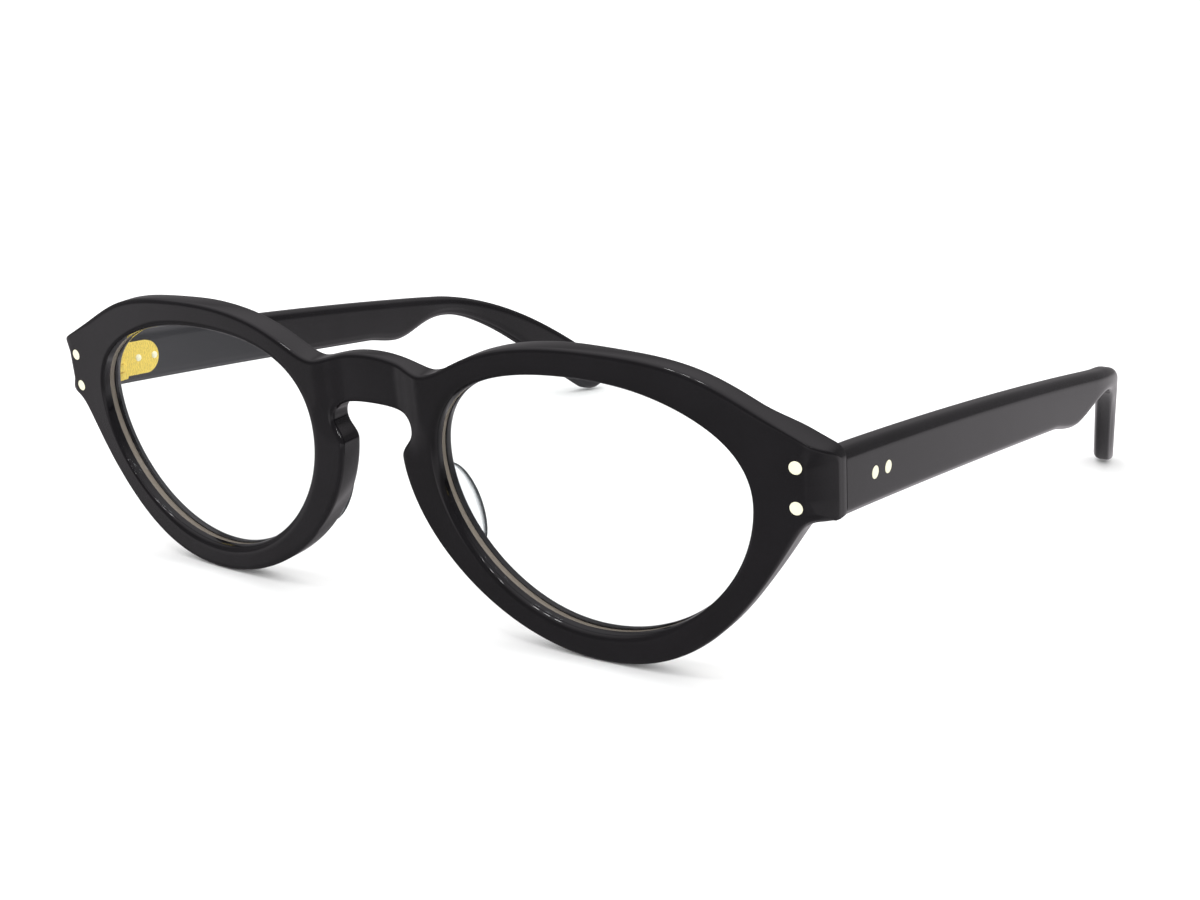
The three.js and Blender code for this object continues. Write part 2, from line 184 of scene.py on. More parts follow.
def nearest(points, edges):
    """Distance from each point to the rounded stretches, and the two radii there."""
    starts, ends, radii = [], [], []
    for edge in edges:
        both = np.stack([edge.front, edge.back], axis=1)
        nxt = np.roll(both, -1, axis=0)
        keep = np.minimum(both.max(1), nxt.max(1)) > 0
        starts.append(edge.points[keep])
        ends.append(np.roll(edge.points, -1, axis=0)[keep])
        radii.append(np.stack([both, nxt], axis=1)[keep])
    starts, ends, radii = (np.concatenate(part) for part in (starts, ends, radii))
    along = ends - starts
    squared = (along ** 2).sum(1)
    distance = np.empty(len(points))
    found = np.empty((len(points), 2))
    block = 1500
    for first in range(0, len(points), block):
        part = points[first:first + block, None, :] - starts[None]
        share = np.clip((part * along).sum(2) / squared, 0, 1)
        gap = ((part - share[..., None] * along) ** 2).sum(2)
        best = gap.argmin(1)
        rows = np.arange(len(best))
        distance[first:first + block] = np.sqrt(gap[rows, best])
        at = share[rows, best][:, None]
        found[first:first + block] = radii[best, 0] * (1 - at) + radii[best, 1] * at
    return distance, found[:, 0], found[:, 1]


def rounding(distance, radius):
    """How far the surface has dropped below its flat level this near to a rounded edge."""
    radius = np.maximum(radius, 1e-6)
    inner = np.clip(radius - distance, 0, radius)
    return radius - np.sqrt(radius ** 2 - inner ** 2)


# ---------------------------------------------------------------- solids
class Shape:
    """Points and faces that are gathered before they become one mesh."""

    def __init__(self):
        self.points = []
        self.faces = []

    def add(self, points, faces, place=None):
        start = len(self.points)
        moved = [Vector(p) for p in points]
        if place is not None:
            moved = [place @ p for p in moved]
            if place.determinant() < 0:
                faces = [tuple(reversed(face)) for face in faces]
        self.points.extend(moved)
        self.faces.extend(tuple(start + i for i in face) for face in faces)
        return self

    def moved(self, place):
        return Shape().add(self.points, self.faces, place)


def rounded_sheet(edges, front_at, back_at, place, spacing=0.5, rings=6, extra=None):
    """A solid between two surfaces over a flat area, with its edges rounded.

    front_at and back_at give the level of each surface at points of the plane. place turns (points,
    level) into positions: seen from the side that the front faces, the plane's axes turn left."""
    loops = [edge.points for edge in edges]
    rim = np.concatenate(loops)
    near = [rim]
    for edge in edges:
        radius = np.maximum(edge.front, edge.back)
        inward = edge.inward()
        steps = [1 - math.cos(math.pi / 2 * ring / rings) for ring in range(1, rings + 1)] + [1.3]
        for step in steps:
            ring = (edge.points + inward * (radius * step)[:, None])[radius > 0.02]
            wanted = (radius * step)[radius > 0.02]
            distance = nearest(ring, edges)[0]
            near.append(ring[(distance > wanted - 0.02) & inside(ring, loops)])
    low, high = rim.min(0), rim.max(0)
    grid = np.stack(np.meshgrid(np.arange(low[0] + spacing / 2, high[0], spacing),
                                np.arange(low[1] + spacing / 2, high[1], spacing)), axis=-1).reshape(-1, 2)
    if extra is not None:
        grid = np.concatenate([grid, extra])
    grid = grid[inside(grid, loops)]
    widest = max(max(edge.front.max(), edge.back.max()) for edge in edges)
    near.append(grid[nearest(grid, edges)[0] > widest * 1.3 + spacing * 0.3])
    flat = np.concatenate(near)

    sides, start = [], 0
    for loop in loops:
        sides += [(start + i, start + (i + 1) % len(loop)) for i in range(len(loop))]
        start += len(loop)
    made = delaunay_2d_cdt([Vector(p) for p in flat], sides, [], 0, 1e-5)
    corners = np.array([tuple(p) for p in made[0]])
    origin = [sources[0] if sources else None for sources in made[3]]
    triangles = [face for face in made[2]]
    middles = np.array([corners[list(face)].mean(0) for face in triangles])
    triangles = [face for face, keep in zip(triangles, inside(middles, loops)) if keep]
    index_of = {source: i for i, source in enumerate(origin) if source is not None}

    distance, front_radius, back_radius = nearest(corners, edges)
    front_level = front_at(corners)
    back_level = back_at(corners)
    sense = np.sign(back_level - front_level)
    front_level = front_level + sense * rounding(distance, front_radius)
    back_level = back_level - sense * rounding(distance, back_radius)

    count = len(corners)
    points = list(place(corners, front_level)) + list(place(corners, back_level))
    faces = [tuple(face) for face in triangles]
    faces += [tuple(count + i for i in reversed(face)) for face in triangles]
    start = 0
    for edge in edges:
        size = len(edge.points)
        ring = [index_of[start + i] for i in range(size)]
        start += size
        rows = [ring]
        for depth, outward in edge.rows:
            flat_row = edge.points - edge.inward() * outward
            level = front_at(edge.points) + depth
            first = len(points)
            points.extend(place(flat_row, level))
            rows.append(list(range(first, first + size)))
        rows.append([count + i for i in ring])
        for upper, lower in zip(rows, rows[1:]):
            for i in range(size):
                j = (i + 1) % size
                faces.append((upper[j], upper[i], lower[i], lower[j]))
    return Shape().add(points, faces)


def lathe(profile, segments=48):
    """A round solid about y from (radius, y) pairs that start and end on the axis."""
    points, rows = [], []
    for radius, y in profile:
        if radius == 0:
            rows.append([len(points)] * segments)
            points.append((0, y, 0))
        else:
            rows.append(list(range(len(points), len(points) + segments)))
            for i in range(segments):
                angle = 2 * math.pi * i / segments
                points.append((radius * math.cos(angle), y, radius * math.sin(angle)))
    faces = []
    for upper, lower in zip(rows, rows[1:]):
        for i in range(segments):
            j = (i + 1) % segments
            corners = [upper[i], upper[j], lower[j], lower[i]]
            faces.append(tuple(dict.fromkeys(corners)))
    return Shape().add(points, faces)


def in_front_plane(points, level):
    return np.column_stack([points[:, 0], level, points[:, 1]])


def in_side_plane(points, level):
    return np.column_stack([level, points[:, 0], points[:, 1]])


def in_top_plane(points, level):
    return np.column_stack([points[:, 0], points[:, 1], level])


def flat_level(value):
    return lambda points: np.full(len(points), float(value))


def circle_points(radius, count=48):
    angles = np.arange(count) * 2 * math.pi / count
    return np.stack([radius * np.cos(angles), radius * np.sin(angles)], axis=1)


# ---------------------------------------------------------------- the front
def shell_y(x, depth):
    """The curve of the front, this deep behind its face."""
    return CURVE_RADIUS - np.sqrt((CURVE_RADIUS - depth) ** 2 - x ** 2)


def smooth_step(value):
    value = np.clip(value, 0, 1)
    return value * value * (3 - 2 * value)


def front_face(points):
    """Face of the front: a gentle curve, round corners at the ends and the milled-back bridge."""
    x, z = np.abs(points[:, 0]), points[:, 1]
    level = shell_y(x, 0)
    corner = x > END_CENTRE_X * CURVE_RADIUS / (CURVE_RADIUS - END_CORNER)
    beyond = np.clip(x[corner] - END_CENTRE_X, 0, END_CORNER)
    level[corner] = END_CENTRE_Y - np.sqrt(END_CORNER ** 2 - beyond ** 2)
    across = smooth_step((BRIDGE_FADE - x) / (BRIDGE_FADE - BRIDGE_FLAT))
    upward = smooth_step((z - 24) / 6)
    return level + BRIDGE_RECESS * across * upward


def front_back(points):
    return shell_y(np.abs(points[:, 0]), FRONT_THICKNESS)


def front_outline():
    """Half of the outline from the top of the keyhole round to the top of the bridge, then mirrored."""
    end_top, end_bottom, end_slope = 32.6, 24, 0.46
    low_fillet, high_fillet = 0.4, 1.4
    half = trace(
        (0, 31.25),
        [(4.6, 31.25), (7, 30.7), (7, 28.3)],
        [(7, 26.9), (5.35, 26.2), (5.35, 24.8)],
        [(6.3, 12.5), (20.5, 0.1), (35.5, 0.1)],
        [(49.8, 0.1), (56.7, 10.4), (62.7, 20.8)],
        [(63.9, 22.8), (64.6, end_bottom), (66.4, end_bottom)],
        [(HALF_WIDTH - low_fillet, end_bottom)],
        [(HALF_WIDTH, end_bottom), (HALF_WIDTH, end_bottom + low_fillet)],
        [(HALF_WIDTH, end_top - high_fillet)],
        [(HALF_WIDTH, end_top), (HALF_WIDTH - high_fillet, end_top + high_fillet * end_slope)],
        [(52.9, 39.5), (52.5, 42.6), (34, 42.6)],
        [(17.8, 42.6), (14.4, 37.2), (10.1, 36.7)],
        [(8, 36.45), (5.5, 38.3), (0, 38.3)],
    )
    return np.concatenate([half[:-1], mirrored(half[1:])])


def eye_outline(grow=0):
    """The lens opening on the wearer's left, clockwise from the nose side."""
    nasal, top, temporal, bottom = 11.4 - grow, 38.7 + grow, 57.9 + grow, 4.1 - grow
    return closed(trace(
        (nasal, 25.5),
        [(nasal, 37.5), (24.5, top), (33, top)],
        [(44.3, top), (temporal, 34.9), (temporal, 25)],
        [(temporal, 14.9), (48.2, bottom), (34.6, bottom)],
        [(21.9, bottom), (nasal, 15), (nasal, 25.5)],
    ))


def front_edges():
    """The outline is rounder behind the temples' side, crisp on top of the end pieces and soft below."""
    outline = front_outline()
    x, z = np.abs(outline[:, 0]), outline[:, 1]
    at_end = smooth_step((x - 58) / 6)
    at_side = smooth_step((x - 30) / 12)
    at_bottom = smooth_step((30 - z) / 6)
    front = 0.6 + (0.7 * at_bottom - 0.25) * at_end
    front *= 1 - smooth_step((x - HALF_WIDTH + 0.9) / 0.9)
    back = (0.9 + 0.8 * at_side) * (1 - at_end) + 0.15 * at_end
    groove_front, groove_back = LENS_DEPTH - GROOVE_GAP, LENS_DEPTH + LENS_THICKNESS + GROOVE_GAP
    into_rim = -(LENS_REACH + GROOVE_GAP)
    groove = [(groove_front, 0), (groove_front, into_rim), (groove_back, into_rim), (groove_back, 0)]
    eye = eye_outline()
    at_temporal = smooth_step((eye[:, 0] - 40) / 12)
    eye_front = 1.1 - 0.6 * at_temporal
    eyes = [Edge(eye, eye_front, 1.1, groove), Edge(mirrored(eye), eye_front[::-1], 1.1, groove)]
    return [Edge(outline, front, back)] + eyes


def end_columns():
    """Closer points where the face turns round the outer corners."""
    columns = END_CENTRE_X + END_CORNER * np.sin(np.radians(np.arange(8, 90, 8)))
    levels = np.arange(22, 35, 0.4)
    half = np.stack(np.meshgrid(columns, levels), axis=-1).reshape(-1, 2)
    return np.concatenate([half, half * [-1, 1]])


def front_shape():
    return rounded_sheet(front_edges(), front_face, front_back, in_front_plane, extra=end_columns())


def frosting(shape):
    """How frosted a lens is at its points: fully on its bevelled edge, and nowhere else."""
    points = np.array([tuple(p) for p in shape.points])
    distance = nearest(points[:, [0, 2]], [Edge(eye_outline(LENS_REACH))])[0]
    return np.where(distance < LENS_BEVEL * 1.1, 1.0, 0.0)


def lens_shape():
    outline = eye_outline(LENS_REACH)[::-1]
    return rounded_sheet([Edge(outline, LENS_BEVEL, LENS_BEVEL)], lambda p: shell_y(p[:, 0], LENS_DEPTH),
                         lambda p: shell_y(p[:, 0], LENS_DEPTH + LENS_THICKNESS), in_front_plane,
                         spacing=1.5, rings=3)


def nose_pad_shape():
    """Half of a long egg, flat where it is glued behind the rim."""
    half_width, depth, half_height = 2.6, 2.9, 6.6
    rows = 16
    profile = [(math.sin(math.pi / 2 * i / rows), math.cos(math.pi / 2 * i / rows)) for i in range(rows + 1)]
    egg = lathe([(r if r > 1e-9 else 0, y) for r, y in profile] + [(0, 0)])
    stretched = egg.moved(Matrix.Diagonal((half_width, depth, half_height, 1)))
    pad_x, pad_z, turn = 11.8, 16.8, 0.3
    pad_y = float(shell_y(np.array(pad_x), FRONT_THICKNESS)) + 0.02
    place = Matrix.Translation((pad_x, pad_y, pad_z)) @ Matrix.Rotation(-turn, 4, "Y")
    return stretched.moved(place)


# ---------------------------------------------------------------- rivets and hinges
def rivet_shape(length, tail=0.0):
    """A rivet from its sanded head at y = 0 towards +y, with a low dome on its tail if it shows."""
    chamfer = 0.07
    profile = [(0, -RIVET_PROUD), (RIVET_HEAD * 0.6, -RIVET_PROUD), (RIVET_HEAD - chamfer, -RIVET_PROUD),
               (RIVET_HEAD, chamfer - RIVET_PROUD), (RIVET_HEAD, 0.4), (RIVET_SHAFT, 0.45),
               (RIVET_SHAFT, length)]
    profile += [(RIVET_SHAFT * math.cos(a), length + tail * math.sin(a)) for a in (0.4, 0.8, 1.2)]
    return lathe(profile + [(0, length + tail)])


def front_rivet_shape(height):
    turn = math.asin(FRONT_RIVET_X / CURVE_RADIUS)
    y = float(shell_y(np.array(FRONT_RIVET_X), 0))
    place = Matrix.Translation((FRONT_RIVET_X, y, HINGE.z + height)) @ Matrix.Rotation(turn, 4, "Z")
    return rivet_shape(FRONT_RIVET_LENGTH).moved(place)


def temple_rivet_shape(y, z):
    place = Matrix.Translation((TEMPLE_INNER_X + TEMPLE_THICKNESS, y, z)) @ Matrix.Rotation(math.pi / 2, 4, "Z")
    through = TEMPLE_THICKNESS + TEMPLE_INNER_X - TEMPLE_LEAF_X
    return rivet_shape(through, tail=0.3).moved(TEMPLE_PLACE @ place)


def knuckle_levels(first):
    pitch = KNUCKLE_STACK / KNUCKLE_COUNT
    for level in range(first, KNUCKLE_COUNT, 2):
        low = -KNUCKLE_STACK / 2 + level * pitch + KNUCKLE_GAP / 2
        yield low, low + pitch - KNUCKLE_GAP


def knuckle_outline(tab_half, tab_length, direction):
    """A barrel with a tab running off it, seen along the pin."""
    turn = math.asin(tab_half / KNUCKLE_RADIUS)
    angles = np.linspace(turn, 2 * math.pi - turn, 33)
    ring = np.stack([KNUCKLE_RADIUS * np.cos(angles), KNUCKLE_RADIUS * np.sin(angles)], axis=1)
    outline = np.concatenate([ring, [[tab_length, -tab_half], [tab_length, tab_half]]])
    c, s = math.cos(direction), math.sin(direction)
    return outline @ np.array([[c, s], [-s, c]])


def knuckle_shapes(first, tab_half, tab_length, direction):
    shape = Shape()
    outline = knuckle_outline(tab_half, tab_length, direction)
    for low, high in knuckle_levels(first):
        barrel = rounded_sheet([Edge(outline, 0.12, 0.12)], flat_level(high), flat_level(low), in_top_plane,
                               spacing=0.8, rings=3)
        shape.add(barrel.points, barrel.faces)
    return shape


def rectangle(x0, x1, y0, y1, corner):
    return closed(trace((x0 + corner, y0), [(x1 - corner, y0)], [(x1, y0), (x1, y0 + corner)],
                        [(x1, y1 - corner)], [(x1, y1), (x1 - corner, y1)], [(x0 + corner, y1)],
                        [(x0, y1), (x0, y1 - corner)], [(x0, y0 + corner)], [(x0, y0), (x0 + corner, y0)]))


def front_hinge_shape():
    """A plate let into the back of the end piece, with three barrels."""
    plate = rounded_sheet([Edge(rectangle(-2.4, 3, -3.45, 3.45, 0.5), 0.15, 0.15)],
                          flat_level(FRONT_LEAF_Y - LEAF_THICKNESS), flat_level(FRONT_LEAF_Y),
                          in_front_plane, rings=3)
    barrels = knuckle_shapes(0, 0.9, -FRONT_LEAF_Y + 0.2, -math.pi / 2)
    return plate.add(barrels.points, barrels.faces).moved(HINGE_PLACE)


def temple_hinge_shape():
    """A D-shaped plate on the inner face of the temple, with two barrels."""
    radius, straight, shoulder, step = 2.75, 6.25, 2.2, 0.45
    outline = closed(trace(
        (0, -radius - step), [(shoulder - step, -radius - step)],
        [(shoulder, -radius - step), (shoulder, -radius)], [(straight, -radius)],
        [(straight + radius * 0.552, -radius), (straight + radius, -radius * 0.552), (straight + radius, 0)],
        [(straight + radius, radius * 0.552), (straight + radius * 0.552, radius), (straight, radius)],
        [(0, radius)], [(0, -radius - step)]))
    plate = rounded_sheet([Edge(outline, 0.12, 0.18)], flat_level(TEMPLE_LEAF_X + LEAF_THICKNESS),
                          flat_level(TEMPLE_LEAF_X), in_side_plane, rings=3)
    lean = Matrix.Translation((0, TEMPLE_LEAF_Y, -0.85)) @ Matrix.Rotation(-DROOP, 4, "X")
    shape = plate.moved(lean)
    barrels = knuckle_shapes(1, 1.0, math.hypot(TEMPLE_LEAF_X + 0.5, TEMPLE_LEAF_Y + 0.6), 1.05)
    return shape.add(barrels.points, barrels.faces).moved(TEMPLE_PLACE)


def screw_shape():
    """An upright screw through the barrels, with a slotted head on top."""
    head, floor, slot = 1.15, KNUCKLE_STACK / 2, 0.18
    body = lathe([(0, floor + 0.3), (head, floor + 0.3), (head, floor + 0.02), (RIVET_SHAFT, floor),
                  (RIVET_SHAFT, -floor), (RIVET_SHAFT - 0.15, -floor - 0.1), (0, -floor - 0.1)])
    upright = Matrix.Rotation(math.pi / 2, 4, "X")
    shape = body.moved(upright)
    start = math.acos(slot / head)
    angles = np.linspace(-start, start, 25)
    half_moon = np.stack([head * np.cos(angles), head * np.sin(angles)], axis=1)
    for side in (half_moon, -half_moon):
        raised = rounded_sheet([Edge(side, 0.1, 0.02)], flat_level(floor + 0.6), flat_level(floor + 0.29),
                               in_top_plane, rings=3)
        shape.add(raised.points, raised.faces)
    return shape.moved(HINGE_PLACE)


# ---------------------------------------------------------------- the temples
def temple_outline():
    """Side view as (y, z) from the hinge axis: a slightly arched bar, a shoulder over the ear and a drop
    to a round tip."""
    tip = np.array([130.2, -39.5])
    tip_radius, tip_start, tip_end = 3.8, -2.3, 0.87
    angles = np.linspace(tip_start, tip_end, 36)
    arc = tip + tip_radius * np.stack([np.cos(angles), np.sin(angles)], axis=1)
    lower = trace((TEMPLE_END_Y, -4.75), [(24, -8.4), (67, -15.6)], [(70, -16.1), (73.5, -17.8), (77, -17.8)],
                  [(80.5, -17.8), (84, -16.4), (88.5, -16.4)], [(103, -16.4), (116, -33), arc[0]])
    upper = trace(arc[-1], [(123.5, -29.2), (109.2, -15.8), (90, -12.3)], [(44.5, -2.8), (TEMPLE_END_Y, 3.9)])
    return np.concatenate([lower[:-1], arc, upper[1:]])


def temple_edge():
    side = temple_outline()
    radius = TEMPLE_ROUNDING
    top, bottom = side[-1][1], side[0][1]
    near = [radius * (1 - math.cos(math.pi / 2 * ring / 6)) for ring in range(1, 7)] + [radius * 1.3]
    heights = [top - step for step in near] + list(np.arange(top - 2, bottom + 2, -0.5))
    heights += [bottom + step for step in reversed(near)]
    end = np.array([(TEMPLE_END_Y, height) for height in heights])
    rounded = np.concatenate([np.full(len(side), radius), np.zeros(len(end))])
    return Edge(np.concatenate([side, end]), rounded, rounded)


def temple_level(across):
    """Level of a face of the temple: straight, an arc, then straight again behind the ear."""
    def level(points):
        beyond = np.clip(points[:, 0] - BEND_Y, 0, None)
        reach = BEND_RADIUS + across
        bent = np.minimum(beyond, reach * math.sin(BEND_TURN))
        middle = TEMPLE_INNER_X + TEMPLE_THICKNESS / 2 - BEND_RADIUS
        return middle + np.sqrt(reach ** 2 - bent ** 2) - (beyond - bent) * math.tan(BEND_TURN)
    return level


def temple_shape():
    half = TEMPLE_THICKNESS / 2

    def place(points, level):
        placed = in_side_plane(points, level)
        fade = np.clip(1 - (points[:, 0] - TEMPLE_END_Y) / 6, 0, 1)
        inward = TEMPLE_INNER_X + TEMPLE_THICKNESS - level
        placed[:, 1] -= inward * math.tan(TEMPLE_MITRE) * fade
        return placed

    bar = rounded_sheet([temple_edge()], temple_level(half), temple_level(-half), place, spacing=0.9)
    return bar.moved(TEMPLE_PLACE)


# ---------------------------------------------------------------- materials
SLOTS = {entry["slot"]: entry for entry in frame["record"]["materials"]}


class Nodes:
    """The node tree of a material, or of a world, under construction."""

    def __init__(self, name, world=None):
        self.owner = world or bpy.data.materials.new(name)
        self.owner.use_nodes = True
        self.tree = self.owner.node_tree
        self.tree.nodes.clear()
        self.output = self.tree.nodes.new("ShaderNodeOutputWorld" if world else "ShaderNodeOutputMaterial")

    def node(self, kind, **inputs):
        made = self.tree.nodes.new("ShaderNode" + kind)
        for name, value in inputs.items():
            self.set(made, name, value)
        return made

    def set(self, node, name, value):
        socket = node.inputs[int(name[1:])] if name[0] == "_" and name[1:].isdigit() else node.inputs[name]
        if isinstance(value, bpy.types.NodeSocket):
            self.tree.links.new(value, socket)
        else:
            socket.default_value = value

    def noise(self, scale, detail=2.0, stretch=(1, 1, 1)):
        """Noise in object space. Scale is in features per millimetre."""
        place = self.node("TexCoord")
        mapping = self.node("Mapping", Vector=place.outputs["Object"])
        mapping.inputs["Scale"].default_value = [s * scale / MM for s in stretch]
        return self.node("TexNoise", Vector=mapping.outputs["Vector"], Scale=1.0, Detail=detail).outputs["Fac"]

    def ramp(self, value, low, high, start=0.3, end=0.7):
        span = self.node("MapRange", Value=value)
        for name, number in (("From Min", start), ("From Max", end), ("To Min", low), ("To Max", high)):
            span.inputs[name].default_value = number
        return span.outputs["Result"]

    def blend(self, amount, first, second):
        mix = self.node("Mix", Factor=amount)
        mix.data_type = "RGBA"
        self.set(mix, "_6", first)
        self.set(mix, "_7", second)
        return mix.outputs[2]

    def math(self, operation, first, second):
        made = self.node("Math", _0=first, _1=second)
        made.operation = operation
        return made.outputs["Value"]

    def mix_value(self, amount, first, second):
        return self.node("Mix", _0=amount, _2=first, _3=second).outputs[0]

    def curve(self, value, stops):
        """A smooth line through (place from 0 to 1, level) stops."""
        made = self.node("ValToRGB", Fac=value)
        made.color_ramp.interpolation = "EASE"
        points = made.color_ramp.elements
        while len(points) < len(stops):
            points.new(0.5)
        for point, (place, level) in zip(points, stops):
            point.position = place
            point.color = (level, level, level, 1)
        return made.outputs["Color"]

    def bump(self, height, strength, distance):
        return self.node("Bump", Height=height, Strength=strength, Distance=distance * MM).outputs["Normal"]

    def finish(self, shader):
        self.tree.links.new(shader, self.output.inputs["Surface"])
        return self.owner


def slot_colour(slot):
    return tuple(SLOTS[slot]["base_color"][:3]) + (1.0,)


def polished_acetate():
    """Black cellulose acetate: a deep gloss with faint polishing waves, haze and hairline marks."""
    made = Nodes("polished_acetate")
    base = slot_colour("black_acetate")
    depth = made.noise(0.12, 3)
    colour = made.blend(made.ramp(depth, 0, 1), tuple(c * 0.55 for c in base[:3]) + (1,), base)
    haze = made.ramp(made.noise(0.35, 4), 0.045, 0.085)
    waves = made.bump(made.noise(0.18, 1), 0.25, 0.02)
    marks = made.node("Bump", Height=made.noise(1.2, 3, (1, 8, 1)), Strength=0.02, Distance=0.01 * MM,
                      Normal=waves)
    shader = made.node("BsdfPrincipled", Roughness=haze, IOR=1.48, Normal=marks.outputs["Normal"])
    made.set(shader, "Base Color", colour)
    return made.finish(shader.outputs["BSDF"])


def gold(name, slot, roughness, grain, stretch=(1, 1, 1), satin=0.0, tint=(1, 1, 1)):
    """Plated metal with fine tool marks and a little tone variation. Satin is the share that scatters."""
    made = Nodes(name)
    base = tuple(c * t for c, t in zip(slot_colour(slot), tint)) + (1.0,)
    tone = made.ramp(made.noise(0.9, 3), 0, 1)
    colour = made.blend(tone, tuple(c * 0.93 for c in base[:3]) + (1,), base)
    marks = made.noise(grain, 4, stretch)
    shader = made.node("BsdfPrincipled", Metallic=1.0, Roughness=made.ramp(marks, roughness * 0.7, roughness * 1.3),
                       Normal=made.bump(marks, 0.15, 0.02))
    made.set(shader, "Base Color", colour)
    both = made.node("MixShader", Fac=satin)
    made.set(both, "_1", shader.outputs["BSDF"])
    made.set(both, "_2", made.node("BsdfDiffuse", Color=colour).outputs["BSDF"])
    return made.finish(both.outputs["Shader"])


def clear_lens():
    """A thin coated lens: see-through, with faint bluish-green reflections."""
    made = Nodes("coated_lens")
    see_through = made.node("BsdfTransparent", Color=(0.985, 0.992, 0.99, 1))
    smudge = made.ramp(made.noise(0.06, 3), 0.005, 0.03)
    glossy = made.node("BsdfGlossy", Roughness=smudge, Color=(0.9, 0.96, 1.0, 1))
    angle = made.node("Fresnel", IOR=1.5)
    outside = made.math("SUBTRACT", 1.0, made.node("NewGeometry").outputs["Backfacing"])
    clear = made.node("MixShader", Fac=made.math("MULTIPLY", angle.outputs["Fac"], outside))
    made.set(clear, "_1", see_through.outputs["BSDF"])
    made.set(clear, "_2", glossy.outputs["BSDF"])
    ground_edge = made.node("BsdfDiffuse", Color=(0.28, 0.245, 0.21, 1))
    frosted = made.node("Attribute")
    frosted.attribute_name = "frosted"
    both = made.node("MixShader", Fac=made.math("MINIMUM", frosted.outputs["Fac"], 0.9))
    made.set(both, "_1", clear.outputs["Shader"])
    made.set(both, "_2", ground_edge.outputs["BSDF"])
    return made.finish(both.outputs["Shader"])


def clear_pad():
    """Clear satin acetate, with painted shade: a dark matt colour mixed in where the surface turns away from the
    view.
    """
    made = Nodes("clear_pad")
    see_through = made.node("BsdfTransparent", Color=(0.95, 0.96, 0.97, 1))
    # Painted shade: a near-black matt colour that the facing ramp mixes in towards the pad's turned-away edges; the
    # haze noise adds a little of it at random.
    edge_painted_shade = made.node("BsdfDiffuse", Color=(0.05, 0.053, 0.057, 1))
    facing = made.node("LayerWeight", Blend=0.25)
    haze = made.ramp(made.noise(0.8, 3), 0.0, 0.06)
    edge = made.math("ADD", haze, made.ramp(facing.outputs["Facing"], 0.0, 0.92, 0.16, 0.36))
    both = made.node("MixShader", Fac=edge)
    made.set(both, "_1", see_through.outputs["BSDF"])
    made.set(both, "_2", edge_painted_shade.outputs["BSDF"])
    return made.finish(both.outputs["Shader"])


def floor_paper():
    """A plain pale floor with the faintest grain."""
    made = Nodes("pale_floor")
    tone = made.ramp(made.noise(0.02, 3), 0.9, 0.94)
    colour = made.node("CombineColor")
    for channel in ("Red", "Green", "Blue"):
        made.set(colour, channel, tone)
    shader = made.node("BsdfDiffuse", Color=colour.outputs["Color"])
    return made.finish(shader.outputs["BSDF"])


MATERIALS = {
    "black_acetate": polished_acetate(),
    "clear_lens": clear_lens(),
    "clear_pad": clear_pad(),
    "hinge_gold": gold("hinge_plate_gold", "hinge_gold", 0.28, 1.5, (1, 6, 1), satin=0.6, tint=(1.2, 1.15, 0.45)),
    "rivet_gold": gold("rivet_pale_gold", "rivet_gold", 0.35, 4, satin=0.85, tint=(1.12, 1.2, 1.2)),
    "core_steel": gold("drawn_steel", "core_steel", 0.35, 3),
}


# ---------------------------------------------------------------- pieces
def piece(name, shape, slot, body, node, crease=35, frosted=None):
    """Makes a shape drawn in the frame of the front into a piece that stands for a CAD node."""
    placed = shape.moved(TO_ROW)
    mesh = bpy.data.meshes.new(name)
    mesh.from_pydata([tuple(p) for p in placed.points], [], placed.faces)
    mesh.validate()
    mesh.shade_smooth()
    mesh.set_sharp_from_angle(angle=math.radians(crease))
    mesh.materials.append(MATERIALS[slot])
    if frosted is not None:
        mesh.attributes.new("frosted", "FLOAT", "POINT").data.foreach_set("value", frosted)
    made = bpy.data.objects.new(name, mesh)
    bpy.context.scene.collection.objects.link(made)
    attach(made, body)
    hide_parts(node)
    return made


def build_pieces():
    piece("acetate_front", front_shape(), "black_acetate", "front", "front")
    lens, pad = lens_shape(), nose_pad_shape()
    temple, screw = temple_shape(), screw_shape()
    front_hinge, temple_hinge = front_hinge_shape(), temple_hinge_shape()
    for side, turn in (("left", Matrix.Identity(4)), ("right", MIRROR_X)):
        swing = f"temple_{side}"
        piece(f"clear_lens_{side}", lens.moved(turn), "clear_lens", "front", f"lens_{side}", frosted=frosting(lens))
        piece(f"clear_pad_{side}", pad.moved(turn), "clear_pad", "front", f"nose_pad_{side}")
        piece(f"hinge_leaf_front_{side}", front_hinge.moved(turn), "hinge_gold", "front", f"front_hinge_{side}")
        piece(f"slotted_screw_{side}", screw.moved(turn), "hinge_gold", "front", f"hinge_screw_{side}")
        for place, sign in (("upper", 0.5), ("lower", -0.5)):
            rivet = front_rivet_shape(sign * FRONT_RIVET_SPACING).moved(turn)
            piece(f"rivet_{place}_{side}", rivet, "rivet_gold", "front", f"front_rivet_{place}_{side}")
        piece(f"acetate_temple_{side}", temple.moved(turn), "black_acetate", swing, swing)
        piece(f"hinge_leaf_temple_{side}", temple_hinge.moved(turn), "hinge_gold", swing, f"temple_hinge_{side}")
        for place, (y, z) in TEMPLE_RIVETS.items():
            rivet = temple_rivet_shape(y, z).moved(turn)
            piece(f"rivet_temple_{place}_{side}", rivet, "rivet_gold", swing, f"temple_rivet_{place}_{side}")
        wire = frame["nodes"][f"core_wire_{side}"]
        wire.data.materials.clear()
        wire.data.materials.append(MATERIALS["core_steel"])


